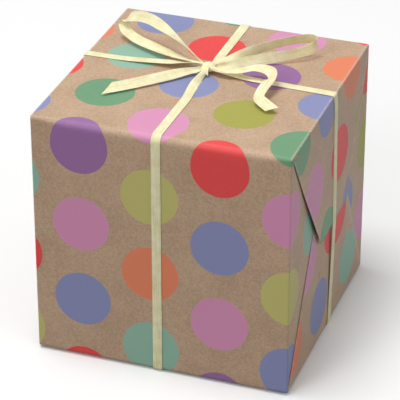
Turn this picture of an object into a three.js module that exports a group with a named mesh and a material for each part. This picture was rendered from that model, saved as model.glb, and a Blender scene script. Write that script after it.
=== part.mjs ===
// A cube gift carton wrapped in one printed sheet of kraft paper, tied both ways with flat
// paper ribbon and finished with a bow. Millimetres, +Z up, the front towards -Y.
// The origin is the centre of the underside.

import * as THREE from "three";

// Driving dimensions
const SIDE = 152.4; // across the wrapped box, crease to crease
const HEIGHT = 152.9; // from the surface it stands on to the top sheet
const PAPER = 0.3; // wrapping paper
const GAP = 0.3; // clearance where two pieces touch
const SLIM_GAP = 0.1; // clearance either side of a tape
const BOARD = 3; // single-wall corrugated board
const TAPE = 0.1;
const FOLD = 7; // from the carton's top or underside to where its flaps meet the wall
const CARTON_CORNER = 4; // outer radius where a long carton flap folds over
const SOFT_FOLD = 4.6; // outer radius of the sheet over the top front edge
const CRISP_FOLD = 2; // and over the other three long edges
const RIBBON = 0.6; // ribbon thickness
const RIBBON_WIDE = 5.6;
const BOTTOM_FLAP = 0.55 * SIDE; // how far the sheet reaches past the box at each end
const TOP_FLAP = 0.535 * SIDE; // the same above, where a little is lost in the fold
const STAND_OFF = 1.2; // how far the top flaps' free edges stand off the box
const SEAM_BACK = 4.6; // y where the sheet's outer lap ends under the box
const SEAM_FRONT = -20.4; // y where its inner lap ends

// Levels and half widths that follow from them
const HALF = SIDE / 2;
const PAPER_LOW = RIBBON + GAP; // outside of the lower sheet
const SHEET_STEP = PAPER + GAP; // one layer of paper to the next
const CARTON_LOW = PAPER_LOW + 2 * SHEET_STEP;
const CARTON_TOP = HEIGHT - SHEET_STEP;
const CARTON_HALF = HALF - SHEET_STEP;
const FOLD_TOP = CARTON_TOP - FOLD;
const RIBBON_OFF = GAP + RIBBON / 2; // from the sheet to the middle of a ribbon

// The bow's knot, above the crossing of the ribbons
const KNOT = new THREE.Vector3(-0.5, 8.2, 156.4);
const KNOT_RADII = [5, 4, 3.2];
const CROSSING = 6.4; // width of the folded crossing under the box
const RUN_START = CROSSING / 2 + GAP; // where a ribbon run ends, from the crossing's centre

const materials = {
  board: new THREE.MeshStandardMaterial({ color: 0xb08a5e, roughness: 0.9, metalness: 0 }),
  paper: new THREE.MeshStandardMaterial({ color: 0xc9a98c, roughness: 0.75, metalness: 0 }),
  ribbon: new THREE.MeshStandardMaterial({ color: 0xf6f2cc, roughness: 0.6, metalness: 0 }),
  tape: new THREE.MeshStandardMaterial({ color: 0xd9c9a4, roughness: 0.3, metalness: 0 }),
};

const gift = new THREE.Group();

function addMesh(name, geometry, material, parent = gift) {
  const mesh = new THREE.Mesh(geometry, material);
  mesh.name = name;
  parent.add(mesh);
  return mesh;
}

// ---- Flat outlines --------------------------------------------------------------------

// Points of a round corner about (x, y), from one angle to another in degrees.
function arc(x, y, radius, from, to, steps = 6) {
  return Array.from({ length: steps + 1 }, (_, i) => {
    const angle = THREE.MathUtils.degToRad(from + ((to - from) * i) / steps);
    return new THREE.Vector2(x + radius * Math.cos(angle), y + radius * Math.sin(angle));
  });
}

const point = (x, y) => new THREE.Vector2(x, y);

// The outline of a bent strip of one thickness whose middle follows the line.
function stripOutline(line, thickness) {
  const offset = (side) =>
    line.map((p, i) => {
      const before = line[Math.max(i - 1, 0)];
      const after = line[Math.min(i + 1, line.length - 1)];
      const into = (i > 0 ? p : after).clone().sub(i > 0 ? before : p).normalize();
      const out = (i < line.length - 1 ? after : p)
        .clone()
        .sub(i < line.length - 1 ? p : before)
        .normalize();
      const mitre = new THREE.Vector2(-into.y - out.y, into.x + out.x).normalize();
      const stretch = 1 / (mitre.x * -into.y + mitre.y * into.x);
      return p.clone().addScaledVector(mitre, (side * stretch * thickness) / 2);
    });
  return new THREE.Shape([...offset(1), ...offset(-1).reverse()]);
}

const flatExtrude = (outline, depth) =>
  new THREE.ExtrudeGeometry(outline, { depth, bevelEnabled: false, curveSegments: 8 });

// Outlines drawn in (Y, Z), drawn out along +X from x.
function alongX(outline, x, depth) {
  const turn = new THREE.Matrix4().makeBasis(
    new THREE.Vector3(0, 1, 0),
    new THREE.Vector3(0, 0, 1),
    new THREE.Vector3(1, 0, 0),
  );
  return flatExtrude(outline, depth).applyMatrix4(turn).translate(x, 0, 0);
}

// Outlines drawn in (X, Z), drawn out along Y and centred on y = 0.
const acrossY = (outline, depth) =>
  flatExtrude(outline, depth).rotateX(Math.PI / 2).translate(0, depth / 2, 0);

function roundedSquare(Kind, half, radius) {
  const corner = half - radius;
  return new Kind([
    ...arc(corner, -corner, radius, -90, 0),
    ...arc(corner, corner, radius, 0, 90),
    ...arc(-corner, corner, radius, 90, 180),
    ...arc(-corner, -corner, radius, 180, 270),
  ]);
}

// ---- Carton ---------------------------------------------------------------------------

function addCarton() {
  const wall = roundedSquare(THREE.Shape, CARTON_HALF, 3.5);
  wall.holes.push(roundedSquare(THREE.Path, CARTON_HALF - BOARD, 0.5));
  const wallLow = CARTON_LOW + FOLD + GAP;
  const wallHigh = FOLD_TOP - GAP;
  const tube = flatExtrude(wall, wallHigh - wallLow).translate(0, 0, wallLow);
  addMesh("carton_wall", tube, materials.board);

  // A flap runs from the middle of the box out to its wall and turns down to meet it.
  // Its line is drawn for the top; the bottom flaps are the same line turned over.
  const flapLine = (drop) => {
    const radius = Math.min(CARTON_CORNER, FOLD - drop) - BOARD / 2;
    const out = CARTON_HALF - BOARD / 2;
    const high = FOLD - drop - BOARD / 2;
    const line = [point(GAP / 2, high), ...arc(out - radius, high - radius, radius, 90, 0)];
    return high > radius ? [...line, point(out, 0)] : line;
  };
  const innerDrop = BOARD + GAP; // the short flaps lie one board further in
  const innerHalf = CARTON_HALF - 2 * BOARD; // they stop short of the long flaps' folds
  const tapeDrop = 38; // how far the packing tape turns down over the ends
  const tapeWide = 48;
  for (const [level, height, up] of [["top", FOLD_TOP, 1], ["bottom", CARTON_LOW + FOLD, -1]]) {
    for (const [side, sign] of [["front", -1], ["back", 1]]) {
      const line = flapLine(0).map((p) => point(sign * p.x, height + up * p.y));
      const flap = alongX(stripOutline(line, BOARD), -CARTON_HALF, 2 * CARTON_HALF);
      addMesh(`carton_${level}_${side}_flap`, flap, materials.board);
    }
    for (const [side, sign] of [["left", -1], ["right", 1]]) {
      const line = flapLine(innerDrop).map((p) => point(sign * p.x, height + up * p.y));
      const flap = acrossY(stripOutline(line, BOARD), 2 * innerHalf);
      addMesh(`carton_${level}_${side}_flap`, flap, materials.board);
    }
    // Packing tape closes the seam of the long flaps and turns down over both ends.
    const tapeOut = CARTON_HALF + SLIM_GAP + TAPE / 2;
    const tapeFace = up > 0 ? CARTON_TOP + SLIM_GAP + TAPE / 2 : CARTON_LOW - SLIM_GAP - TAPE / 2;
    const tapeEnd = tapeFace - up * tapeDrop;
    const tapeLine = [
      point(-tapeOut, tapeEnd),
      point(-tapeOut, tapeFace),
      point(tapeOut, tapeFace),
      point(tapeOut, tapeEnd),
    ];
    addMesh(`carton_${level}_tape`, acrossY(stripOutline(tapeLine, TAPE), tapeWide), materials.tape);
  }
}

// ---- Wrapping paper -------------------------------------------------------------------

// The sheet goes round the box from front to back. Each panel ends half way round a fold.
function addPaperRound() {
  const face = HALF - PAPER / 2;
  const high = HEIGHT - PAPER / 2;
  const low = PAPER_LOW + PAPER / 2;
  // The middle of the sheet round one edge, towards +Y or -Y and above or below.
  const fold = (sideways, up, outer, from, to) => {
    const radius = outer - PAPER / 2;
    const z = up > 0 ? high - radius : low + radius;
    return arc(sideways * (face - radius), z, radius, from, to);
  };
  const addPanel = (name, line) => {
    const panel = alongX(stripOutline(line, PAPER), -HALF, SIDE);
    addMesh(name, panel, materials.paper);
  };
  const half = 42; // degrees of a fold in each panel, which leaves them clear of each other
  addPanel("paper_front", [
    ...fold(-1, -1, CRISP_FOLD, 180 + half, 180),
    ...fold(-1, 1, SOFT_FOLD, 180, 180 - half),
  ]);
  addPanel("paper_top", [
    ...fold(-1, 1, SOFT_FOLD, 90 + half, 90),
    ...fold(1, 1, CRISP_FOLD, 90, 90 - half),
  ]);
  addPanel("paper_back", [
    ...fold(1, 1, CRISP_FOLD, half, 0),
    ...fold(1, -1, CRISP_FOLD, 0, -half),
  ]);
  addPanel("paper_bottom_outer_lap", [
    ...fold(-1, -1, CRISP_FOLD, 270 - half, 270),
    point(SEAM_BACK, low),
  ]);
  // The inner lap steps up just before the outer lap's edge.
  addPanel("paper_bottom_inner_lap", [
    ...fold(1, -1, CRISP_FOLD, half - 90, -90),
    point(SEAM_BACK + 4, low),
    point(SEAM_BACK + 1, low + SHEET_STEP),
    point(SEAM_FRONT, low + SHEET_STEP),
  ]);
  const seamLong = 140;
  const seamWide = 18;
  const seam = new THREE.BoxGeometry(seamLong, seamWide, TAPE);
  const between = PAPER_LOW + PAPER + SLIM_GAP + TAPE / 2;
  seam.translate(0, (SEAM_BACK + SEAM_FRONT) / 2, between);
  addMesh("seam_tape", seam, materials.tape);
}

// A side tuck: folded in from a vertical edge, with its upper and lower sides at 45 degrees.
function tuckOutline(sign, topFold) {
  const edge = HALF - SHEET_STEP;
  const depth = 70;
  const high = topFold - SHEET_STEP;
  const low = CRISP_FOLD - SHEET_STEP;
  const corners = [
    ...arc(high - edge, CARTON_TOP - high, high, 135, 180),
    ...arc(low - edge, CARTON_LOW + low, low, 180, 225),
    point(depth - edge, CARTON_LOW + depth),
    point(depth - edge, CARTON_TOP - depth),
  ];
  return new THREE.Shape(corners.map((p) => point(-sign * p.x, p.y)));
}

// A long flap seen from its own crease: it hangs to z = -depth and narrows on both sides.
function flapOutline(depth, frontRun, backRun, frontFold) {
  const corner = (fold) => arc(fold - HALF, -fold, fold, 90, 135, 3);
  const mirrored = corner(CRISP_FOLD).map((p) => point(-p.x, p.y)).reverse();
  return new THREE.Shape([
    ...corner(frontFold),
    point(frontRun - HALF, -depth),
    point(HALF - backRun, -depth),
    ...mirrored,
  ]);
}

// Both ends close the same way: side tucks first, then the bottom flap, then the top flap.
function addPaperEnd(side, sign) {
  const end = new THREE.Group();
  end.scale.x = sign;
  gift.add(end);
  const tuckFace = HALF - PAPER;
  for (const [edge, direction, fold] of [["front", -1, SOFT_FOLD], ["back", 1, CRISP_FOLD]]) {
    const tuck = alongX(tuckOutline(direction, fold), tuckFace, PAPER);
    addMesh(`paper_${side}_${edge}_tuck`, tuck, materials.paper, end);
  }
  const flapFace = HALF + GAP;
  const bottomRun = 0.296 * SIDE; // how far a slanted side comes in over the flap's depth
  const bottomOutline = flapOutline(BOTTOM_FLAP, bottomRun, bottomRun, CRISP_FOLD);
  const bottom = alongX(bottomOutline, 0, PAPER);
  bottom.scale(1, 1, -1);
  flipFaces(bottom);
  bottom.translate(flapFace, 0, PAPER_LOW);
  addMesh(`paper_${side}_bottom_flap`, bottom, materials.paper, end);

  // The top flap stands off a little at its free edge, where it lies on the bottom flap.
  const frontRun = 0.335 * SIDE;
  const backRun = 0.3 * SIDE;
  const top = alongX(flapOutline(TOP_FLAP, frontRun, backRun, SOFT_FOLD), 0, PAPER);
  top.rotateY(-Math.atan(STAND_OFF / TOP_FLAP));
  top.translate(flapFace, 0, HEIGHT);
  addMesh(`paper_${side}_top_flap`, top, materials.paper, end);

  // A short piece of tape under the top flap's free edge.
  const tapeLong = 25;
  const tapeWide = 9;
  const tape = new THREE.BoxGeometry(TAPE, tapeLong, tapeWide);
  const tapeOut = flapFace + PAPER + 2 * SLIM_GAP + TAPE;
  tape.translate(tapeOut, 3, HEIGHT - TOP_FLAP + 7);
  addMesh(`paper_${side}_flap_tape`, tape, materials.tape, end);
}

// Turns every triangle round after a mirroring scale.
function flipFaces(geometry) {
  const position = geometry.getAttribute("position");
  for (let i = 0; i < position.count; i += 3) {
    const first = new THREE.Vector3().fromBufferAttribute(position, i + 1);
    const second = new THREE.Vector3().fromBufferAttribute(position, i + 2);
    position.setXYZ(i + 1, second.x, second.y, second.z);
    position.setXYZ(i + 2, first.x, first.y, first.z);
  }
}

// ---- Ribbon runs ----------------------------------------------------------------------

// Each run leaves the crossing on top, goes over its edge, down its face and back under.
// The line is drawn in a plane through the knot: x is the distance out from the knot.
function addRun(name, heading, topLine) {
  const arm = new THREE.Group();
  arm.position.set(KNOT.x, KNOT.y, 0);
  arm.rotation.z = THREE.MathUtils.degToRad(heading);
  gift.add(arm);
  const geometry = acrossY(stripOutline(topLine, RIBBON), RIBBON_WIDE);
  addMesh(name, geometry, materials.ribbon, arm);
}

// Over the long edges of the box.
function roundRun(reach, topFold) {
  return [
    point(RUN_START, HEIGHT + RIBBON_OFF),
    ...arc(reach - topFold, HEIGHT - topFold, topFold + RIBBON_OFF, 90, 0),
    ...arc(reach - CRISP_FOLD, PAPER_LOW + CRISP_FOLD, CRISP_FOLD + RIBBON_OFF, 0, -90),
    point(RUN_START, PAPER_LOW - RIBBON_OFF),
  ];
}

// Over the edges of an end and straight down from the top flap's free edge.
function crispRun(reach) {
  const bend = 0.9;
  const face = reach + GAP + PAPER + RIBBON_OFF;
  const high = HEIGHT + RIBBON_OFF;
  return [
    point(RUN_START, high),
    ...arc(face - bend, high - bend, bend, 90, 0, 3),
    point(face + STAND_OFF + SLIM_GAP, HEIGHT - TOP_FLAP),
    ...arc(face - bend, RIBBON / 2 + bend, bend, 0, -90, 3),
    point(RUN_START, RIBBON / 2),
  ];
}

function addRuns() {
  addRun("ribbon_front_run", -90.9, roundRun(HALF + KNOT.y, SOFT_FOLD));
  addRun("ribbon_back_run", 89.8, roundRun(HALF - KNOT.y, CRISP_FOLD));
  addRun("ribbon_left_run", 180, crispRun(HALF + KNOT.x));
  addRun("ribbon_right_run", -2.5, crispRun(HALF - KNOT.x));
  const crossing = new THREE.BoxGeometry(CROSSING, CROSSING, RIBBON);
  crossing.translate(KNOT.x, KNOT.y, RIBBON / 2);
  addMesh("ribbon_under_crossing", crossing, materials.ribbon);
}

// ---- Bow ------------------------------------------------------------------------------

// A smooth route whose ribbon keeps its width as near as it can to one direction.
class RibbonRoute extends THREE.CatmullRomCurve3 {
  constructor(points, across) {
    super(points.map((p) => new THREE.Vector3(...p)));
    this.across = new THREE.Vector3(...across);
  }

  computeFrenetFrames(segments) {
    const steps = Array.from({ length: segments + 1 }, (_, i) => i / segments);
    const tangents = steps.map((u) => this.getTangentAt(u));
    const normals = tangents.map((t) => this.across.clone().projectOnPlane(t).normalize());
    const binormals = tangents.map((t, i) => t.clone().cross(normals[i]).normalize());
    return { tangents, normals, binormals };
  }
}

function addRibbonPiece(name, across, points) {
  const section = new THREE.Shape([
    point(-RIBBON_WIDE / 2, -RIBBON / 2),
    point(RIBBON_WIDE / 2, -RIBBON / 2),
    point(RIBBON_WIDE / 2, RIBBON / 2),
    point(-RIBBON_WIDE / 2, RIBBON / 2),
  ]);
  const route = new RibbonRoute(points, across);
  const steps = Math.round(route.getLength() / 2);
  const geometry = new THREE.ExtrudeGeometry(section, { steps, extrudePath: route });
  addMesh(name, geometry, materials.ribbon);
}

function addBow() {
  const knot = new THREE.SphereGeometry(1, 24, 16).scale(...KNOT_RADII);
  addMesh("bow_knot", knot.translate(KNOT.x, KNOT.y, KNOT.z), materials.ribbon);

  // Loops stand on edge: up and out from the knot, round the tip and back low down.
  addRibbonPiece("bow_left_loop", [0, 0, 1], [
    [-6, 11, 158],
    [-16, 15, 163],
    [-30, 22, 168],
    [-44, 30, 170],
    [-56, 35, 168],
    [-63, 38, 163],
    [-62, 35, 159],
    [-52, 28, 157],
    [-38, 21, 157],
    [-22, 14, 157],
    [-7, 9, 157],
  ]);
  addRibbonPiece("bow_right_loop", [0, 0, 1], [
    [4, 12, 158],
    [10, 16, 159],
    [24, 31, 162],
    [40, 43, 164],
    [49, 48, 164],
    [52, 48, 162],
    [50, 43, 160],
    [38, 34, 158],
    [22, 23, 157],
    [11, 13, 157],
    [6, 9, 157],
  ]);
  addRibbonPiece("bow_left_tail", [-0.34, 0.36, 0.87], [
    [-7, 2, 156],
    [-12, -2, 156],
    [-29, -20, 156],
    [-38, -29, 156],
    [-46, -36, 156],
  ]);
  addRibbonPiece("bow_right_tail", [0, 0, 1], [
    [6, 5, 157],
    [12, 5, 157],
    [20, 7, 158],
    [28, 9, 160],
    [36, 8, 160],
    [40, 2, 160],
    [40, -6, 160],
    [39, -13, 159],
    [39, -20, 157],
    [43, -25, 157],
    [50, -30, 156],
  ]);
}

addCarton();
addPaperRound();
addPaperEnd("right", 1);
addPaperEnd("left", -1);
addRuns();
addBow();

export default gift;
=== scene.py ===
"""A cube gift wrapped in one sheet of dotted kraft paper, tied with flat paper ribbon and a bow.

The box stands on z = 0 with its front towards -Y. Sizes are in millimetres until a mesh is
made, when they are scaled to metres.
"""

import bisect
import math

import bmesh
import bpy
from mathutils import Matrix, Vector, noise


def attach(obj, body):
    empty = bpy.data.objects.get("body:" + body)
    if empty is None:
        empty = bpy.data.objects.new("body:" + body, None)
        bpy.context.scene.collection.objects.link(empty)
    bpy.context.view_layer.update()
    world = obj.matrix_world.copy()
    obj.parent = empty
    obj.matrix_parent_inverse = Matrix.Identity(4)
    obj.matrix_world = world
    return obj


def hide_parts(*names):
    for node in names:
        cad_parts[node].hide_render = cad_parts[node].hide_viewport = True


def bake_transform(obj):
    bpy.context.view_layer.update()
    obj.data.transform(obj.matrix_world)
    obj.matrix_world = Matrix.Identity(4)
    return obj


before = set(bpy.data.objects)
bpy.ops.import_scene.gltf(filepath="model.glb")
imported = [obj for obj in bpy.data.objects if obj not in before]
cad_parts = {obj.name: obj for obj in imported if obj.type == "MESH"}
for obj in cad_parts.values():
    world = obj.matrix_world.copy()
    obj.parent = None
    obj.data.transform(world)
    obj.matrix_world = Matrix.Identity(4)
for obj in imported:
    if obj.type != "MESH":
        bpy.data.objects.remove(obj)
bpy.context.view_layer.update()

MM = 0.001

# The wrapped box
SIDE = 152.4
HALF = SIDE / 2  # the creases of the two ends
FACE_Y = 76.05  # middle of the sheet at the front and back
TOP = 152.75  # middle of the sheet on top
LOW = 1.05  # middle of the sheet underneath
SOFT_FOLD = 4.45  # radius of the sheet over the top front edge
CRISP_FOLD = 1.8  # and at its ends and over the other edges
FRONT = TOP - LOW
DEPTH = 2 * FACE_Y
PAPER = 0.12
BOTTOM_FLAP = 0.55 * SIDE
TOP_FLAP = 0.535 * SIDE
SEAM_BACK = 4.6  # y where the outer lap ends under the box
SEAM_FRONT = -20.4  # y where the inner lap ends
LAP_STEP = 0.6  # the inner lap lies this much higher
LAP_STEP_END = SEAM_BACK + 1  # y where it has risen by that
LAP_STEP_START = SEAM_BACK + 4

# How far out from the middle the folded layers of an end lie
TOP_FLAP_OUT = 76.72
FLAP_STAND_OFF = 1.2  # further out, at the top flap's free edge
BOTTOM_FLAP_OUT = 76.62
TOP_GUSSET_IN = 0.24  # how far the fold behind the top flap lies inside it
BOTTOM_GUSSET_OUT = 76.36
FRONT_TUCK_OUT = 76.13
BACK_TUCK_OUT = 75.95

# Ribbon
RIBBON_WIDE = 5.6
BOW_WIDE = 6.5  # the bow is of the same ribbon, less pulled in
RIBBON = 0.28
RIBBON_LIFT = 0.42  # ribbon's middle above the sheet's middle
KNOT = Vector((-0.5, 8.2, 156.2))


def smooth(low, high, value):
    """0 below low, 1 above high, and a smooth step between."""
    t = min(max((value - low) / (high - low), 0.0), 1.0)
    return t * t * (3 - 2 * t)


def mix(a, b, t):
    return a * (1 - t) + b * t


def linear(red, green, blue):
    """An sRGB colour of 0 to 255 as linear values."""

    def decode(c):
        c /= 255
        return c / 12.92 if c <= 0.04045 else ((c + 0.055) / 1.055) ** 2.4

    return decode(red), decode(green), decode(blue), 1.0


# ---- Camera -----------------------------------------------------------------------------

AZIMUTH = math.radians(19.40)
ELEVATION = math.radians(29.52)
DISTANCE = 1.3487
LENS = 206.4
BOX_CENTRE = Vector((0, 0, 0.0769))
FRAMING = Vector((-0.0027, -0.0035))  # the camera moved along its own right and up


def add_camera():
    back = Vector(
        (
            math.sin(AZIMUTH) * math.cos(ELEVATION),
            -math.cos(AZIMUTH) * math.cos(ELEVATION),
            math.sin(ELEVATION),
        )
    )
    right = Vector((math.cos(AZIMUTH), math.sin(AZIMUTH), 0))
    up = back.cross(right)
    data = bpy.data.cameras.new("camera")
    data.lens = LENS
    data.sensor_width = 36
    camera = bpy.data.objects.new("camera", data)
    bpy.context.scene.collection.objects.link(camera)
    place = BOX_CENTRE + back * DISTANCE + right * FRAMING.x + up * FRAMING.y
    axes = Matrix((right, up, back)).transposed().to_4x4()
    camera.matrix_world = Matrix.Translation(place) @ axes
    bpy.context.scene.camera = camera


add_camera()


# ---- Node helpers -----------------------------------------------------------------------


class Nodes:
    """A material's node tree, built with short calls."""

    def __init__(self, name):
        self.material = bpy.data.materials.new(name)
        self.material.use_nodes = True
        self.tree = self.material.node_tree
        self.shader = self.tree.nodes["Principled BSDF"]

    def new(self, kind, **settings):
        node = self.tree.nodes.new(kind)
        for key, value in settings.items():
            setattr(node, key, value)
        return node

    def link(self, out, into):
        self.tree.links.new(out, into)

    def feed(self, socket, value):
        if isinstance(value, bpy.types.NodeSocket):
            self.link(value, socket)
        else:
            socket.default_value = value

    def math(self, operation, *values):
        node = self.new("ShaderNodeMath", operation=operation)
        for socket, value in zip(node.inputs, values):
            self.feed(socket, value)
        return node.outputs[0]

    def noise(self, vector, scale, detail=2.0, roughness=0.5):
        node = self.new("ShaderNodeTexNoise")
        self.feed(node.inputs["Vector"], vector)
        node.inputs["Scale"].default_value = scale
        node.inputs["Detail"].default_value = detail
        node.inputs["Roughness"].default_value = roughness
        return node.outputs["Fac"]

    def stretched(self, vector, scale):
        node = self.new("ShaderNodeMapping")
        self.feed(node.inputs["Vector"], vector)
        node.inputs["Scale"].default_value = scale
        return node.outputs["Vector"]

    def ramp(self, value, low, high, to_low=0.0, to_high=1.0, steps="SMOOTHSTEP"):
        node = self.new("ShaderNodeMapRange", interpolation_type=steps)
        for socket, part in zip(node.inputs, (value, low, high, to_low, to_high)):
            self.feed(socket, part)
        return node.outputs["Result"]

    def mix(self, factor, first, second, blend="MIX"):
        node = self.new("ShaderNodeMix", data_type="RGBA", blend_type=blend)
        colours = [s for s in node.inputs if s.type == "RGBA"]
        self.feed(node.inputs["Factor"], factor)
        self.feed(colours[0], first)
        self.feed(colours[1], second)
        return [s for s in node.outputs if s.type == "RGBA"][0]

    def bump(self, height, distance, strength=1.0):
        node = self.new("ShaderNodeBump")
        node.inputs["Strength"].default_value = strength
        node.inputs["Distance"].default_value = distance
        self.feed(node.inputs["Height"], height)
        self.link(node.outputs["Normal"], self.shader.inputs["Normal"])

    def coordinates(self):
        return self.new("ShaderNodeTexCoord").outputs["Object"]

    def uv(self, layer):
        return self.new("ShaderNodeUVMap", uv_map=layer).outputs["UV"]

    def attribute(self, name):
        return self.new("ShaderNodeAttribute", attribute_name=name)

    def set(self, **values):
        for key, value in values.items():
            self.feed(self.shader.inputs[key.replace("_", " ")], value)


# ---- Print ------------------------------------------------------------------------------

# The dots lie on a lattice in sheet units of one box side: columns along X, rows round the
# box from the middle of the front, and every second column half a row higher.
DOT_RADIUS = 0.1123
COLUMN_PITCH = 0.2716
COLUMN_START = -0.0395
ROW_PITCH = 0.3256
ROW_START = 0.2427
FIRST_ROW = -4
FLAP_ACROSS = 0.113  # how far the right end's bottom flaps shift the print, in box sides
FLAP_ALONG = 0.027
INKS = {
    "p": linear(150, 104, 160),
    "r": linear(234, 68, 70),
    "n": linear(218, 147, 185),
    "b": linear(136, 143, 188),
    "o": linear(232, 133, 95),
    "y": linear(166, 164, 74),
    "l": linear(196, 190, 114),
    "t": linear(144, 187, 166),
    "g": linear(106, 156, 118),
}
COLUMNS = {
    -4: "bnoprtgynbrpt",
    -3: "ytgboyprntbog",
    -2: "gplrtbropnybg",
    -1: "orbnpgtbyront",
    0: "nbtolnbrgptyo",
    1: "tpnbrypnotgrb",
    2: "grblngborynpt",
    3: "bortgnryobpty",
    4: "rntpoygbntgor",
}


def dot_ink(u, v):
    """The ink of the dot nearest a place on the sheet."""
    best = None
    near = round((u - COLUMN_START) / COLUMN_PITCH)
    for column in (near - 1, near, near + 1):
        start = ROW_START + (column % 2) * ROW_PITCH / 2
        row = round((v - start) / ROW_PITCH)
        gap = math.hypot(
            u - COLUMN_START - column * COLUMN_PITCH, v - start - row * ROW_PITCH
        )
        if best is None or gap < best[0]:
            best = (gap, column, row)
    _, column, row = best
    letters = COLUMNS[min(max(column, -4), 4)]
    return INKS[letters[(row - FIRST_ROW) % len(letters)]]


def kraft_fibres(nodes):
    """Fine flecks, long streaks and cloudy tone, shared by both faces of the paper."""
    place = nodes.coordinates()
    cloud = nodes.noise(place, 45, 4, 0.6)
    grain = nodes.noise(place, 900, 3, 0.7)
    fleck = nodes.noise(nodes.stretched(place, (1.0, 0.35, 0.35)), 1900, 2, 0.6)
    return place, cloud, grain, fleck


KRAFT_LIGHT = linear(203, 173, 145)
KRAFT_DARK = linear(177, 147, 119)


def kraft_tone(nodes):
    place, cloud, grain, fleck = kraft_fibres(nodes)
    tone = nodes.math("MULTIPLY_ADD", cloud, 0.3, nodes.math("MULTIPLY", grain, 0.7))
    base = nodes.mix(nodes.ramp(tone, 0.34, 0.66), KRAFT_DARK, KRAFT_LIGHT)
    flecks = nodes.ramp(fleck, 0.66, 0.74, 0.0, 0.4)
    base = nodes.mix(flecks, base, linear(150, 118, 90))
    return place, base, grain, cloud


def printed_kraft():
    nodes = Nodes("printed_kraft")
    place, base, grain, cloud = kraft_tone(nodes)
    split = nodes.new("ShaderNodeSeparateXYZ")
    nodes.link(nodes.uv("Print"), split.inputs[0])
    across, along = split.outputs[0], split.outputs[1]

    from_first = nodes.math("SUBTRACT", across, COLUMN_START)
    column = nodes.math("ROUND", nodes.math("DIVIDE", from_first, COLUMN_PITCH))
    stagger = nodes.math("FLOORED_MODULO", column, 2.0)
    start = nodes.math("MULTIPLY_ADD", stagger, ROW_PITCH / 2, ROW_START)
    from_row = nodes.math("SUBTRACT", along, start)
    row = nodes.math("ROUND", nodes.math("DIVIDE", from_row, ROW_PITCH))
    off_column = nodes.math(
        "SUBTRACT", from_first, nodes.math("MULTIPLY", column, COLUMN_PITCH)
    )
    off_row = nodes.math("SUBTRACT", from_row, nodes.math("MULTIPLY", row, ROW_PITCH))
    squares = nodes.math(
        "ADD",
        nodes.math("MULTIPLY", off_column, off_column),
        nodes.math("MULTIPLY", off_row, off_row),
    )
    radius = nodes.math("SQRT", squares)
    ragged = nodes.math("MULTIPLY_ADD", grain, 0.0016, radius)
    edge = DOT_RADIUS + 0.0008
    dot = nodes.ramp(ragged, edge + 0.0012, edge - 0.0012)

    ink = nodes.attribute("ink").outputs["Color"]
    ink = nodes.mix(nodes.ramp(cloud, 0.3, 0.7, 0.0, 0.12), ink, (1, 1, 1, 1), "MULTIPLY")
    worn = nodes.ramp(grain, 0.3, 0.45, 0.80, 0.97)
    printed = nodes.mix(nodes.math("MULTIPLY", dot, worn), base, ink)
    # Worn whitening and painted highlight along the creases: a pale colour mixed in where the
    # crease mask is high, broken up by the grain
    crease = nodes.attribute("crease").outputs["Fac"]
    scuff_and_highlight = nodes.math("MULTIPLY", crease, nodes.ramp(grain, 0.35, 0.6, 0.15, 0.55))
    colour = nodes.mix(scuff_and_highlight, printed, linear(236, 222, 206))
    nodes.set(Base_Color=colour, Specular_IOR_Level=0.42)
    nodes.set(Roughness=nodes.ramp(grain, 0.3, 0.7, 0.44, 0.6))
    soft = nodes.math("MULTIPLY_ADD", nodes.noise(place, 90, 2), 3.0, grain)
    nodes.bump(soft, 0.00006, 0.5)
    return nodes.material


def plain_kraft():
    nodes = Nodes("plain_kraft")
    _, base, grain, _ = kraft_tone(nodes)
    nodes.set(Base_Color=base, Specular_IOR_Level=0.25)
    nodes.set(Roughness=nodes.ramp(grain, 0.3, 0.7, 0.72, 0.86))
    nodes.bump(grain, 0.00005, 0.5)
    return nodes.material


def ribbon_paper():
    """Cream paper ribbon with fine lines along its length."""
    nodes = Nodes("ribbon_paper")
    strip = nodes.uv("Strip")
    lines = nodes.noise(nodes.stretched(strip, (1.0, 0.012, 1.0)), 2600, 3, 0.75)
    cloud = nodes.noise(nodes.coordinates(), 160, 3, 0.6)
    tone = nodes.math("MULTIPLY_ADD", cloud, 0.3, nodes.math("MULTIPLY", lines, 0.7))
    colour = nodes.mix(
        nodes.ramp(tone, 0.35, 0.62), linear(224, 210, 156), linear(252, 248, 210)
    )
    nodes.set(Base_Color=colour, Specular_IOR_Level=0.35)
    nodes.set(Roughness=nodes.ramp(lines, 0.3, 0.7, 0.42, 0.6))
    nodes.set(Subsurface_Weight=0.12, Subsurface_Scale=0.0006)
    nodes.shader.inputs["Subsurface Radius"].default_value = (1.0, 0.75, 0.4)
    nodes.bump(lines, 0.00009, 0.7)
    return nodes.material


def corrugated_board():
    nodes = Nodes("corrugated_board")
    place = nodes.coordinates()
    flutes = nodes.new("ShaderNodeTexWave", bands_direction="X", wave_profile="SIN")
    nodes.link(place, flutes.inputs["Vector"])
    flutes.inputs["Scale"].default_value = 42
    flutes.inputs["Distortion"].default_value = 0.15
    grain = nodes.noise(place, 700, 3, 0.7)
    cloud = nodes.noise(place, 30, 3, 0.6)
    colour = nodes.mix(
        nodes.ramp(cloud, 0.35, 0.65), linear(168, 128, 84), linear(190, 150, 104)
    )
    colour = nodes.mix(nodes.ramp(grain, 0.55, 0.75, 0.0, 0.35), colour, linear(140, 104, 68))
    nodes.set(Base_Color=colour, Specular_IOR_Level=0.2)
    nodes.set(Roughness=nodes.ramp(grain, 0.3, 0.7, 0.8, 0.92))
    height = nodes.math("MULTIPLY_ADD", flutes.outputs["Fac"], 1.0, grain)
    nodes.bump(height, 0.0001, 0.6)
    return nodes.material


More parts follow.
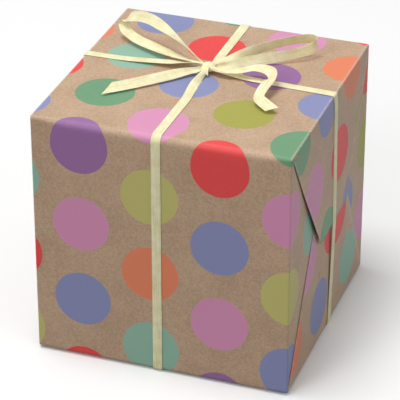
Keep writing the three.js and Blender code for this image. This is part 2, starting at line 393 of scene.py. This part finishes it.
def clear_tape():
    nodes = Nodes("clear_tape")
    place = nodes.coordinates()
    streaks = nodes.noise(nodes.stretched(place, (0.1, 1.0, 1.0)), 500, 2, 0.6)
    cloud = nodes.noise(place, 60, 3, 0.6)
    colour = nodes.mix(
        nodes.ramp(cloud, 0.35, 0.65), linear(214, 190, 150), linear(226, 205, 170)
    )
    nodes.set(Base_Color=colour, Specular_IOR_Level=0.5)
    nodes.set(Roughness=nodes.ramp(streaks, 0.3, 0.7, 0.16, 0.32))
    nodes.bump(streaks, 0.00003, 0.5)
    return nodes.material


PRINTED = printed_kraft()
PLAIN = plain_kraft()
RIBBON_PAPER = ribbon_paper()
BOARD = corrugated_board()
TAPE = clear_tape()


# ---- Wrapping paper ---------------------------------------------------------------------

# Places on the sheet: u along X from the middle, v round the box from the middle of the
# front, upwards. Round a corner v follows the square path.
V_FRONT_LOW = -FRONT / 2
V_FRONT_TOP = FRONT / 2
V_BACK_TOP = FRONT / 2 + DEPTH
V_BACK_LOW = FRONT * 1.5 + DEPTH
V_START = V_FRONT_LOW - FACE_Y - SEAM_BACK
V_END = V_BACK_LOW + FACE_Y - SEAM_FRONT
MIDDLE_Z = (TOP + LOW) / 2

# The four corners met by an end: place on the sheet, way towards the long flap's panel,
# (y, z), the directions along the flap's crease and the tuck's, and where in degrees the
# flap's slanted edge starts from its crease.
CORNERS = [
    (V_FRONT_TOP, 1, (-FACE_Y, TOP), (1, 0), (0, -1), 57.4, "top"),
    (V_BACK_TOP, -1, (FACE_Y, TOP), (-1, 0), (0, -1), 61.0, "top"),
    (V_FRONT_LOW, -1, (-FACE_Y, LOW), (1, 0), (0, 1), 61.7, "bottom"),
    (V_BACK_LOW, 1, (FACE_Y, LOW), (-1, 0), (0, 1), 61.7, "bottom"),
]
# Each long edge: its place on the sheet, its (y, z), the directions in which the sheet
# arrives and leaves as v grows, the fold's radius in the middle, and how much of a square
# corner's path the print saves there, in box sides.
TURNS = [
    (V_FRONT_LOW, (-FACE_Y, LOW), (-1, 0), (0, 1), CRISP_FOLD, 0.01),
    (V_FRONT_TOP, (-FACE_Y, TOP), (0, 1), (1, 0), SOFT_FOLD, 0.036),
    (V_BACK_TOP, (FACE_Y, TOP), (1, 0), (0, -1), CRISP_FOLD, 0.01),
    (V_BACK_LOW, (FACE_Y, LOW), (0, -1), (-1, 0), CRISP_FOLD, 0.01),
]
END_ROUND = {"top": 0.8, "bottom": 1.0, "tuck": 1.2}  # how softly each end crease turns


def square_path(v):
    """(y, z) of the sheet at v, with square corners."""
    if v < V_FRONT_LOW:
        return Vector((-FACE_Y + V_FRONT_LOW - v, LOW))
    if v < V_FRONT_TOP:
        return Vector((-FACE_Y, MIDDLE_Z + v))
    if v < V_BACK_TOP:
        return Vector((-FACE_Y + v - V_FRONT_TOP, TOP))
    if v < V_BACK_LOW:
        return Vector((FACE_Y, TOP - (v - V_BACK_TOP)))
    y = FACE_Y - (v - V_BACK_LOW)
    step = LAP_STEP * smooth(LAP_STEP_START, LAP_STEP_END, y)
    return Vector((y, LOW + step))


def rounded_path(v, u=HALF):
    """(y, z) of the sheet at (u, v), round its folds, which are crisper at the ends."""
    for centre, corner, before, after, fold, _ in TURNS:
        fold = mix(fold, CRISP_FOLD, smooth(HALF - 22, HALF, abs(u)))
        if abs(v - centre) < fold:
            turn = ((v - centre) / fold + 1) * math.pi / 4
            before, after = Vector(before), Vector(after)
            axis = Vector(corner) - before * fold + after * fold
            return axis - after * fold * math.cos(turn) + before * fold * math.sin(turn)
    return square_path(v)


def nearest_corner(v):
    return min(CORNERS, key=lambda corner: abs(v - corner[0]))


def layers(corner, v, drop, run):
    """How far out the flap, its gusset and the tuck lie, below a corner's creases."""
    level = corner[6]
    if level == "top":
        free = smooth(25, 80, drop)
        slant = smooth(34, 4, run - drop / math.tan(math.radians(corner[5])))
        flap = TOP_FLAP_OUT + FLAP_STAND_OFF * drop / TOP_FLAP
        flap += free * slant * (corner[1] > 0)
        gusset = flap - TOP_GUSSET_IN
    else:
        flap = BOTTOM_FLAP_OUT
        if v > V_BACK_LOW:
            flap -= 0.13 * smooth(LAP_STEP_START, LAP_STEP_END, FACE_Y - run)
        gusset = BOTTOM_GUSSET_OUT
    tuck = FRONT_TUCK_OUT if v < (V_FRONT_TOP + V_BACK_TOP) / 2 else BACK_TUCK_OUT
    return flap, gusset, tuck


def end_place(w, v):
    """(x, y, z) on the right end of a place w past its crease, folded flat."""
    corner = nearest_corner(v)
    centre, way, place, along_flap, along_tuck, slant, _ = corner
    q = (v - centre) * way
    reach = math.hypot(w, q)
    turn = math.degrees(math.atan2(w, q))
    if turn <= slant:
        fold = turn
    elif turn <= slant + 45:
        fold = 2 * slant - turn
    else:
        fold = turn - 90
    run = reach * math.cos(math.radians(fold))
    drop = reach * math.sin(math.radians(fold))
    flap, gusset, tuck = layers(corner, v, drop, run)

    off_slant = reach * abs(math.sin(math.radians(turn - slant)))
    off_inner = reach * abs(math.sin(math.radians(turn - slant - 45)))
    if turn <= slant:
        out = mix((flap + gusset) / 2, flap, smooth(0, 1.2, off_slant))
        ramp = smooth(0, 7, drop)
    elif turn <= slant + 45:
        out = mix((flap + gusset) / 2, gusset, smooth(0, 1.2, off_slant))
        out = mix((tuck + gusset) / 2, out, smooth(0, 1.2, off_inner))
        ramp = smooth(0, 7, reach * math.sin(math.radians(slant)))
    else:
        out = mix((tuck + gusset) / 2, tuck, smooth(0, 1.2, off_inner))
        ramp = smooth(0, 5, run)
    x = mix(HALF, out, ramp)
    y = place[0] + along_flap[0] * run + along_tuck[0] * drop
    z = place[1] + along_flap[1] * run + along_tuck[1] * drop
    ease = 1 - smooth(0, 12, w)
    shift = (rounded_path(v) - square_path(v)) * ease
    return Vector((x, y + shift.x, z + shift.y))


def panel_place(u, v):
    y, z = rounded_path(v, u)
    return Vector((u, y, z))


def end_round(v):
    """The softness of the end crease at v."""
    corner = nearest_corner(v)
    q = (v - corner[0]) * corner[1]
    return mix(END_ROUND["tuck"], END_ROUND[corner[6]], smooth(-6, 6, q))


def sheet_place(u, v):
    """Where the folded sheet has the place (u, v)."""
    side = 1 if u > 0 else -1
    s = abs(u) - HALF
    soft = end_round(v)
    if s <= -soft:
        return panel_place(u, v)
    if s >= soft:
        at = end_place(s, v)
    else:
        t = (s + soft) / (2 * soft)
        first = panel_place(HALF - soft, v)
        middle = end_place(0.0001, v)
        last = end_place(soft, v)
        at = first * (1 - t) ** 2 + middle * 2 * t * (1 - t) + last * t * t
    return Vector((side * at.x, at.y, at.z))


def ripple(u, v):
    """The slight unevenness of hand-pulled paper, calm at the creases and under the ribbon."""
    calm = smooth(0, 14, abs(abs(u) - HALF)) * smooth(2, 12, abs(u + 1.6))
    for centre, *_ in TURNS:
        calm *= smooth(SOFT_FOLD, SOFT_FOLD + 12, abs(v - centre))
    broad = noise.noise(Vector((u / 34, v / 46, 3.1)))
    fine = noise.noise(Vector((u / 13, v / 19, 8.7)))
    return calm * (0.20 * broad + 0.07 * fine)


def grid_lines(start, end, step, wanted):
    """Evenly spaced places from start to end with all the wanted ones among them."""
    wanted = sorted({round(w, 4) for w in wanted} | {start, end})
    count = round((end - start) / step)
    lines = list(wanted)
    for i in range(1, count):
        place = start + (end - start) * i / count
        at = bisect.bisect(wanted, place)
        if place - wanted[at - 1] > step * 0.4 and wanted[at] - place > step * 0.4:
            lines.append(place)
    return sorted(lines)


def print_place(u, v, end_flap, side):
    """Print coordinates in box sides, from a place on the sheet."""
    along = v
    for centre, *_, loss in TURNS:
        loss *= SIDE
        if centre > 0:
            along -= loss * smooth(-14, 14, v - centre)
        else:
            along += loss * smooth(14, -14, v - centre)
    across = u / SIDE
    along /= SIDE
    if end_flap and side > 0:
        across += FLAP_ACROSS
        along += math.copysign(FLAP_ALONG, v)
    return across, along


def flat_sheet():
    """The sheet laid flat as a mesh in (u, v), cut along the corner creases of both ends."""
    edges = []
    for soft in sorted(set(END_ROUND.values())):
        edges += [HALF + soft * part for part in (-1, -0.5, 0, 0.5, 1)]
    edges += [HALF - 3, HALF + 3]
    reach = HALF + BOTTOM_FLAP
    across = grid_lines(-reach, reach, 4.0, edges + [-e for e in edges])
    parts = (-1, -0.66, -0.33, 0, 0.33, 0.66, 1)
    turns = [c[0] + fold * part for c in TURNS for part in parts for fold in {c[4], CRISP_FOLD}]
    turns += [V_BACK_LOW + FACE_Y - SEAM_BACK - step for step in (4, 3, 2, 1)]
    along = grid_lines(V_START, V_END, 4.0, turns)

    flat = bmesh.new()
    rows = []
    for v in along:
        row = []
        for u in across:
            past = max(abs(u) - HALF, 0)
            above = smooth(V_FRONT_TOP - 70, V_FRONT_TOP - 20, v)
            above *= smooth(V_BACK_TOP + 70, V_BACK_TOP + 20, v)
            if past > 3:
                past *= mix(1.0, TOP_FLAP / BOTTOM_FLAP, above)
                u = math.copysign(HALF + past, u)
            row.append(flat.verts.new((u, v, 0)))
        rows.append(row)
    for low, high in zip(rows, rows[1:]):
        for i in range(len(across) - 1):
            flat.faces.new((low[i], low[i + 1], high[i + 1], high[i]))
    for side in (-1, 1):
        for centre, way, _, _, _, slant, _ in CORNERS:
            for turn in (slant, slant + 45):
                near = [
                    f
                    for f in flat.faces
                    if side * f.calc_center_median().x > HALF
                    and abs(f.calc_center_median().y - centre) < HALF
                ]
                parts = set(near)
                for face in near:
                    parts.update(face.edges)
                    parts.update(face.verts)
                turn = math.radians(turn)
                bmesh.ops.bisect_plane(
                    flat,
                    geom=list(parts),
                    dist=0.02,
                    plane_co=(side * HALF, centre, 0),
                    plane_no=(-side * way * math.cos(turn), math.sin(turn), 0),
                )
    return flat


def crease_wear_and_highlight(u, v):
    """Worn whitening and painted highlight: 1 on the flaps' creases and 0 a millimetre or two
    away.
    """
    s = abs(u) - HALF
    on_top = V_FRONT_TOP - 1 < v < V_BACK_TOP + 1
    under = v < V_FRONT_LOW or v > V_BACK_LOW
    # Full on the top edges, weaker underneath and none on the upright edges: painted highlight
    # where the edges catch the light, together with wear
    wear_and_highlight = (1 - smooth(0.2, 1.3, abs(s))) * (1.0 if on_top else 0.6 if under else 0.0)
    if s > 0:
        centre, way, _, _, _, slant, _ = nearest_corner(v)
        q = (v - centre) * way
        turn = math.atan2(s, q)
        gap = math.hypot(s, q) * abs(math.sin(turn - math.radians(slant)))
        wear_and_highlight = max(wear_and_highlight, 0.8 - 0.8 * smooth(0.0, 0.9, gap))
    return wear_and_highlight


def add_paper():
    flat = flat_sheet()
    uv = flat.loops.layers.uv.new("Print")
    ink = flat.loops.layers.float_color.new("ink")
    crease = flat.verts.layers.float.new("crease")
    for face in flat.faces:
        middle = face.calc_center_median()
        low = middle.y < V_FRONT_LOW or middle.y > V_BACK_LOW
        end_flap = low and abs(middle.x) > HALF
        side = 1 if middle.x > 0 else -1
        colour = dot_ink(*print_place(middle.x, middle.y, end_flap, side))
        for loop in face.loops:
            u, v, _ = loop.vert.co
            loop[uv].uv = print_place(u, v, end_flap, side)
            loop[ink] = colour
        face.smooth = True
    for vert in flat.verts:
        # the crease mask carries worn whitening and painted highlight
        vert[crease] = crease_wear_and_highlight(vert.co.x, vert.co.y)
    places = [sheet_place(v.co.x, v.co.y) for v in flat.verts]
    lifts = [ripple(v.co.x, v.co.y) for v in flat.verts]
    for vert, place in zip(flat.verts, places):
        vert.co = place * MM
    flat.normal_update()
    normals = [v.normal.copy() for v in flat.verts]
    for vert, lift, normal in zip(flat.verts, lifts, normals):
        vert.co += normal * lift * MM
    for edge in flat.edges:
        if len(edge.link_faces) == 2 and edge.calc_face_angle() > math.radians(50):
            edge.smooth = False
    mesh = bpy.data.meshes.new("wrapping_paper")
    flat.to_mesh(mesh)
    flat.free()
    paper = bpy.data.objects.new("wrapping_paper", mesh)
    bpy.context.scene.collection.objects.link(paper)
    mesh.materials.append(PRINTED)
    mesh.materials.append(PLAIN)
    solid = paper.modifiers.new("thickness", "SOLIDIFY")
    solid.thickness = PAPER * MM
    solid.offset = 0
    solid.material_offset = 1
    solid.material_offset_rim = 1
    apply_modifiers(paper)
    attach(paper, "box")
    rounds = ["front", "top", "back", "bottom_outer_lap", "bottom_inner_lap"]
    folds = [
        f"{side}_{part}"
        for side in ("left", "right")
        for part in ("front_tuck", "back_tuck", "bottom_flap", "top_flap")
    ]
    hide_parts(*(f"paper_{part}" for part in rounds + folds))


def apply_modifiers(obj):
    shape = obj.evaluated_get(bpy.context.evaluated_depsgraph_get())
    mesh = bpy.data.meshes.new_from_object(shape)
    old = obj.data
    obj.modifiers.clear()
    obj.data = mesh
    mesh.name = old.name + "_mesh"
    bpy.data.meshes.remove(old)


# ---- Ribbon -----------------------------------------------------------------------------

STRIP_CUTS = 10  # cuts across the ribbon's width
CROWN = 0.16  # how far the ribbon's middle bows out
CUT_REACH = 16  # how far back from an end its slanted cut moves the mesh
RIB_HEIGHT = 0.018  # the fine ribs along the ribbon
RIB_TURN = 21  # and how far their wave turns over half its width, in radians
GATHER_REACH = 22  # how far from the knot the ribbon is pulled narrow
GATHER = 0.5  # share of its width that it loses there
GATHER_CROWN = 0.9  # and how far its middle bows out there


def catmull(points, spacing):
    """Places about one spacing apart on the smooth curve through the points."""
    size = len(points[0])
    ends = [
        [2 * a - b for a, b in zip(points[0], points[1])],
        [2 * a - b for a, b in zip(points[-1], points[-2])],
    ]
    knots = [ends[0], *points, ends[1]]
    out = []
    for i in range(1, len(knots) - 2):
        a, b, c, d = knots[i - 1 : i + 3]
        span = math.dist(b[:3], c[:3])
        count = max(round(span / spacing), 1)
        for k in range(count):
            t = k / count
            out.append(
                tuple(
                    0.5
                    * (
                        2 * b[j]
                        + (c[j] - a[j]) * t
                        + (2 * a[j] - 5 * b[j] + 4 * c[j] - d[j]) * t * t
                        + (3 * b[j] - a[j] - 3 * c[j] + d[j]) * t**3
                    )
                    for j in range(size)
                )
            )
    out.append(tuple(knots[-2]))
    return out


def strip_mesh(name, path, across, width=RIBBON_WIDE, cut=0.0, gathers=(0, 0)):
    """A flat ribbon swept along a path, its width along the across vectors.

    The cut slants its far end: the distance by which one edge runs on past the other.
    The gathers pull it narrow at its start and at its end, from 0 to 1.
    """
    path = [Vector(p) for p in path]
    lengths = [0.0]
    for a, b in zip(path, path[1:]):
        lengths.append(lengths[-1] + (b - a).length)
    shell = bmesh.new()
    uv = shell.loops.layers.uv.new("Strip")
    rings = []
    for i, place in enumerate(path):
        tangent = (path[min(i + 1, len(path) - 1)] - path[max(i - 1, 0)]).normalized()
        side = Vector(across[i])
        side = (side - tangent * side.dot(tangent)).normalized()
        face = tangent.cross(side)
        gather = gathers[0] * smooth(GATHER_REACH, 0, lengths[i])
        gather += gathers[1] * smooth(GATHER_REACH, 0, lengths[-1] - lengths[i])
        wide = width * (1 - GATHER * gather)
        ring = []
        for over in (1, -1):
            for k in range(STRIP_CUTS + 1):
                s = 2 * k / STRIP_CUTS - 1
                if over < 0:
                    s = -s
                edge = 1 - 0.55 * smooth(0.86, 1.0, abs(s))
                bow = (CROWN + GATHER_CROWN * gather) * (1 - s * s)
                rib = RIB_HEIGHT * math.cos(s * RIB_TURN)
                height = bow + over * (RIBBON / 2 * edge + rib * edge)
                slip = cut * smooth(0, CUT_REACH, lengths[i] - lengths[-1] + CUT_REACH)
                spot = place + side * (s * wide / 2) + face * height
                ring.append((shell.verts.new((spot + tangent * slip * s / 2) * MM), s))
        rings.append(ring)
    count = len(rings[0])

    def add_face(corners):
        quad = shell.faces.new([corner[0][0] for corner in corners])
        quad.smooth = True
        for loop, (vert, length) in zip(quad.loops, corners):
            loop[uv].uv = (vert[1] * width / 2 * MM, length * MM)

    for i in range(len(rings) - 1):
        for k in range(count):
            n = (k + 1) % count
            a, b = rings[i], rings[i + 1]
            add_face(
                [
                    (a[k], lengths[i]),
                    (a[n], lengths[i]),
                    (b[n], lengths[i + 1]),
                    (b[k], lengths[i + 1]),
                ]
            )
    for ring, length, turn in ((rings[0], 0.0, -1), (rings[-1], lengths[-1], 1)):
        for k in range(STRIP_CUTS):
            quad = [ring[k], ring[k + 1], ring[count - 2 - k], ring[count - 1 - k]]
            add_face([(vert, length) for vert in quad[::turn]])
    bmesh.ops.recalc_face_normals(shell, faces=shell.faces)
    for edge in shell.edges:
        if len(edge.link_faces) == 2 and edge.calc_face_angle() > math.radians(60):
            edge.smooth = False
    mesh = bpy.data.meshes.new(name)
    shell.to_mesh(mesh)
    shell.free()
    mesh.materials.append(RIBBON_PAPER)
    obj = bpy.data.objects.new(name, mesh)
    bpy.context.scene.collection.objects.link(obj)
    return obj


def end_face(y, z):
    """How far out the paper's outermost layer lies on an end at (y, z)."""
    drop = TOP - z
    if drop <= TOP_FLAP:
        flap = TOP_FLAP_OUT + FLAP_STAND_OFF * drop / TOP_FLAP
        return mix(HALF, flap, smooth(0, 7, drop))
    lip = TOP_FLAP_OUT + FLAP_STAND_OFF
    return mix(lip, HALF + 0.3, (drop - TOP_FLAP) / (FRONT - TOP_FLAP))


UNDER_Z = RIBBON / 2 + 0.02
RUN_START = 3.5


def round_run(reach, fold):
    """(distance from the knot, z) down a run over the front or back, from the top middle."""
    face = reach - (HALF - FACE_Y)
    turns = [math.radians(9 * k) for k in range(1, 10)]
    radius = fold + RIBBON_LIFT
    centre, high = face - fold, TOP - fold
    line = [(d, TOP + RIBBON_LIFT) for d in spaced(0.5, centre, 1.5)]
    line += [(centre + radius * math.sin(a), high + radius * math.cos(a)) for a in turns]
    radius = CRISP_FOLD + RIBBON_LIFT
    centre, low = face - CRISP_FOLD, LOW + CRISP_FOLD
    line += [(face + RIBBON_LIFT, z) for z in spaced(high - 1, low, 3)]
    under = low - UNDER_Z
    line += [(centre + radius * math.cos(a), low - under * math.sin(a)) for a in turns]
    line += [(d, UNDER_Z) for d in spaced(centre - 1, RUN_START, 3)]
    return line


def crisp_run(reach, y):
    """(distance from the knot, z) down a run over an end."""
    bend = 1.0
    off = reach - HALF
    high = TOP + RIBBON_LIFT
    corner = end_face(y, TOP - 1) + off + RIBBON_LIFT
    line = [(d, high) for d in spaced(0.5, corner - bend, 1.5)]
    line += [
        (corner - bend + bend * math.sin(a), high - bend + bend * math.cos(a))
        for a in (math.radians(15 * k) for k in range(1, 6))
    ]
    line += [
        (end_face(y, z) + off + RIBBON_LIFT, z) for z in spaced(high - bend, 2.2, 2.0)
    ]
    corner = HALF + off + RIBBON_LIFT
    low = UNDER_Z + bend
    line += [
        (corner - bend + bend * math.cos(a), low - bend * math.sin(a))
        for a in (math.radians(15 * k) for k in range(0, 6))
    ]
    line += [(d, UNDER_Z) for d in spaced(corner - bend, RUN_START, 3)]
    return line


def spaced(start, end, step):
    count = max(round(abs(end - start) / step), 1)
    return [start + (end - start) * i / count for i in range(count + 1)]


def add_run(name, heading, line, twist, lift, sway=0.0):
    """A run in the plane through the knot, turned and raised near the knot.

    twist is the turn at the knot in degrees, and how far out it has gone.
    lift is the height gained at the knot, and how far out it has gone.
    """
    heading = math.radians(heading)
    out = Vector((math.cos(heading), math.sin(heading), 0))
    side = Vector((-out.y, out.x, 0))
    path, across = [], []
    for i, (d, z) in enumerate(line):
        near = i < len(line) / 2 and z > TOP
        turn = math.radians(twist[0]) * (1 - smooth(2, twist[1], d)) if near else 0
        rise = lift[0] * (1 - smooth(0, lift[1], d)) if near else 0
        aside = sway * math.sin(math.pi * smooth(0, 40, d)) if near else 0
        after = line[min(i + 1, len(line) - 1)]
        before = line[max(i - 1, 0)]
        tangent = out * (after[0] - before[0]) + Vector((0, 0, after[1] - before[1]))
        face = side.cross(tangent.normalized())
        path.append(Vector((KNOT.x, KNOT.y, z + rise)) + out * d + side * aside)
        across.append(side * math.cos(turn) + face * math.sin(turn))
    run = strip_mesh(f"{name}_run", path, across, gathers=(0.8, 0))
    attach(run, "box")
    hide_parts(f"ribbon_{name}_run")


def add_runs():
    front = round_run(HALF + KNOT.y, SOFT_FOLD)
    add_run("front", -90.9, front, twist=(66, 30), lift=(2.6, 26), sway=-1.6)
    back = round_run(HALF - KNOT.y, CRISP_FOLD)
    add_run("back", 89.8, back, twist=(10, 12), lift=(1.6, 16))
    left = crisp_run(HALF + KNOT.x, KNOT.y)
    add_run("left", 180, left, twist=(-58, 26), lift=(3.8, 60))
    right = crisp_run(HALF - KNOT.x, 5.0)
    add_run("right", -2.5, right, twist=(12, 14), lift=(1.6, 30))
    under = [(KNOT.x + d, KNOT.y, UNDER_Z + 0.02) for d in spaced(-3.6, 3.6, 0.8)]
    crossing = strip_mesh("under_crossing", under, [(0, 1, 0.06)] * len(under))
    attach(crossing, "box")
    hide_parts("ribbon_under_crossing")


# The bow's routes, each place with the direction of the ribbon's width there.
LEFT_LOOP = [
    (-2, 9, 157, -0.28, 0.80, -0.45),
    (-6, 11, 158, -0.28, 0.80, -0.45),
    (-16, 15, 163, -0.26, 0.85, -0.30),
    (-30, 22, 168, -0.23, 0.85, 0.15),
    (-44, 30, 170, -0.20, 0.68, 0.62),
    (-56, 35, 168, 0.00, 0.65, 0.72),
    (-63, 38, 163, 0.55, 0.56, 0.40),
    (-62, 35, 159, 0.67, 0.55, 0.25),
    (-52, 28, 157, 0.50, 0.70, 0.30),
    (-38, 21, 157, 0.38, 0.75, 0.25),
    (-22, 14, 157, 0.22, 0.84, -0.10),
    (-7, 9, 157, 0.10, 0.80, -0.50),
    (-2, 8, 157, 0.10, 0.80, -0.50),
]
RIGHT_LOOP = [
    (1, 9, 157, -0.20, 0.75, 0.50),
    (4, 12, 158, -0.20, 0.70, 0.55),
    (10, 16, 159, -0.24, 0.50, 0.70),
    (24, 31, 162, -0.10, -0.20, 0.95),
    (40, 43, 164, 0.00, -0.30, 0.95),
    (49, 48, 164, -0.05, -0.20, 0.95),
    (52, 48, 162, -0.20, -0.05, 0.95),
    (50, 43, 160, -0.30, 0.00, 0.93),
    (38, 34, 158, -0.30, 0.00, 0.92),
    (22, 23, 157, -0.34, 0.35, 0.85),
    (11, 13, 157, -0.20, 0.60, 0.75),
    (6, 9, 157, -0.10, 0.60, 0.78),
    (2, 8, 157, -0.10, 0.60, 0.78),
]
LEFT_TAIL = [
    (-2, 5, 157, -0.40, 0.66, 0.54),
    (-7, 2, 156, -0.43, 0.67, 0.51),
    (-12, -2, 156, -0.43, 0.67, 0.51),
    (-29, -20, 156, -0.43, 0.67, 0.51),
    (-38, -29, 156, -0.43, 0.67, 0.51),
    (-46, -36, 156, -0.43, 0.67, 0.51),
]
RIGHT_TAIL = [
    (2, 6, 157, -0.05, 0.85, 0.40),
    (6, 5, 157, -0.05, 0.90, 0.30),
    (12, 5, 157, -0.08, 0.95, 0.15),
    (20, 7, 158, -0.10, 0.97, 0.10),
    (28, 9, 160, 0.00, 0.95, 0.20),
    (36, 8, 160, 0.30, 0.80, 0.45),
    (40, 2, 160, 0.80, 0.20, 0.60),
    (40, -6, 160, 0.97, 0.05, 0.10),
    (39, -13, 159, 0.97, -0.10, 0.10),
    (39, -20, 157, 0.90, 0.20, 0.30),
    (43, -25, 157, 0.70, 0.50, 0.40),
    (50, -30, 156, 0.55, 0.70, 0.40),
]
BOW = [
    ("left_loop", LEFT_LOOP, 150, "object", 0),
    ("right_loop", RIGHT_LOOP, 42, "object", 0),
    ("left_tail", LEFT_TAIL, 223, "bare", -8.4),
    ("right_tail", RIGHT_TAIL, -12, "bare", 4.0),
]


def add_bow():
    for body, route, heading, far_end, cut in BOW:
        spots = catmull(route, 2.2)
        path = [Vector(s[:3]) for s in spots]
        across = [s[3:] for s in spots]
        gathers = (1, 1 if far_end == "object" else 0)
        piece = strip_mesh(f"{body}_ribbon", path, across, BOW_WIDE, cut, gathers)
        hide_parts(f"bow_{body}")
        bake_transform(piece)


def add_knot():
    """The wound band of the knot, cupped at its edges and pleated across."""
    band = bmesh.new()
    uv = band.loops.layers.uv.new("Strip")
    rounds, cuts = 44, 14
    wide, deep, high = 7.6, 3.7, 2.9  # its width, and its radii along Y and Z
    rings = []
    for i in range(rounds):
        angle = 2 * math.pi * i / rounds
        ring = []
        for k in range(cuts + 1):
            s = 2 * k / cuts - 1
            pleat = 0.22 * math.cos(9 * s + 1.3 * math.sin(angle)) * (1 - s * s)
            pinch = 1 - 0.42 * abs(s) ** 3
            x = s * wide / 2 + 0.5 * math.sin(angle)
            y = (deep + pleat) * pinch * math.cos(angle)
            z = (high + pleat) * pinch * math.sin(angle)
            vert = band.verts.new((KNOT + Vector((x, y, z))) * MM)
            ring.append((vert, (s * wide / 2, angle * 4)))
        rings.append(ring)
    for i in range(rounds):
        a, b = rings[i], rings[(i + 1) % rounds]
        for k in range(cuts):
            corners = [a[k], a[k + 1], b[k + 1], b[k]]
            face = band.faces.new([c[0] for c in corners])
            face.smooth = True
            for loop, (_, (s, t)) in zip(face.loops, corners):
                loop[uv].uv = (s * MM, t * MM)
    for side in (0, cuts):
        middle = band.verts.new(
            ((KNOT.x + (side / cuts - 0.5) * (wide - 2.4)) * MM, KNOT.y * MM, KNOT.z * MM)
        )
        for i in range(rounds):
            face = band.faces.new((rings[i][side][0], rings[(i + 1) % rounds][side][0], middle))
            face.smooth = True
    bmesh.ops.recalc_face_normals(band, faces=band.faces)
    mesh = bpy.data.meshes.new("bow_knot")
    band.to_mesh(mesh)
    band.free()
    mesh.materials.append(RIBBON_PAPER)
    knot = bpy.data.objects.new("bow_knot_band", mesh)
    bpy.context.scene.collection.objects.link(knot)
    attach(knot, "box")
    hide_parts("bow_knot")

    # The band's own end, tucked under with a corner left showing.
    corner = [(-1.6, 5.2, 157.2), (-1.2, 4.0, 157.4), (-1.0, 2.8, 156.5), (-0.8, 2.0, 155.4)]
    corner = [s[:3] for s in catmull(corner, 0.7)]
    tab = strip_mesh("bow_knot_corner", corner, [(1, 0.1, 0.25)] * len(corner), 4.4, 4.0)
    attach(tab, "box")


def finish_frame_parts():
    for name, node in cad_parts.items():
        if name.startswith("carton") and not name.endswith("tape"):
            material = BOARD
        elif name.endswith("tape"):
            material = TAPE
        else:
            continue
        for slot in node.material_slots:
            slot.material = material


# ---- Floor and light --------------------------------------------------------------------


def add_floor():
    mesh = bpy.data.meshes.new("floor")
    size = 6.0
    mesh.from_pydata(
        [(-size, -size, 0), (size, -size, 0), (size, size, 0), (-size, size, 0)],
        [],
        [(0, 1, 2, 3)],
    )
    floor = bpy.data.objects.new("floor", mesh)
    floor.location.z = -0.0002
    bpy.context.scene.collection.objects.link(floor)
    nodes = Nodes("pale_floor")
    nodes.set(Base_Color=(0.95, 0.95, 0.95, 1), Roughness=0.9, Specular_IOR_Level=0.1)
    mesh.materials.append(nodes.material)
    floor.visible_diffuse = False  # no bounce, so the sides keep their shade down to the foot


def add_area(name, place, target, size, watts):
    data = bpy.data.lights.new(name, "AREA")
    data.shape = "DISK"
    data.size = size
    data.energy = watts
    lamp = bpy.data.objects.new(name, data)
    bpy.context.scene.collection.objects.link(lamp)
    lamp.location = place
    aim = Vector(target) - Vector(place)
    lamp.rotation_euler = aim.to_track_quat("-Z", "Y").to_euler()


def add_light():
    """Soft daylight, brighter from above, with a broad lamp overhead and two weak ones."""
    world = bpy.data.worlds.new("studio")
    world.use_nodes = True
    tree = world.node_tree
    place = tree.nodes.new("ShaderNodeTexCoord")
    split = tree.nodes.new("ShaderNodeSeparateXYZ")
    blend = tree.nodes.new("ShaderNodeMapRange")
    tree.links.new(place.outputs["Generated"], split.inputs[0])
    tree.links.new(split.outputs["Z"], blend.inputs["Value"])
    blend.inputs["From Min"].default_value = -0.4
    blend.inputs["From Max"].default_value = 0.4
    blend.inputs["To Min"].default_value = 0.16
    blend.inputs["To Max"].default_value = 0.5
    tree.links.new(blend.outputs["Result"], tree.nodes["Background"].inputs["Strength"])
    tree.nodes["Background"].inputs["Color"].default_value = (1, 1, 1, 1)
    bpy.context.scene.world = world
    add_area("overhead", (-0.35, -0.25, 2.4), (0, 0, 0.1), 1.1, 30)
    add_area("front_left", (-0.7, -1.7, 1.4), (0, 0, 0.12), 0.9, 10)
    add_area("right", (2.2, -0.9, 1.3), (0, 0, 0.1), 1.2, 5)
    scene = bpy.context.scene
    scene.view_settings.view_transform = "Standard"
    scene.view_settings.look = "None"


add_bow()
add_knot()
add_runs()
add_paper()
finish_frame_parts()
add_floor()
add_light()
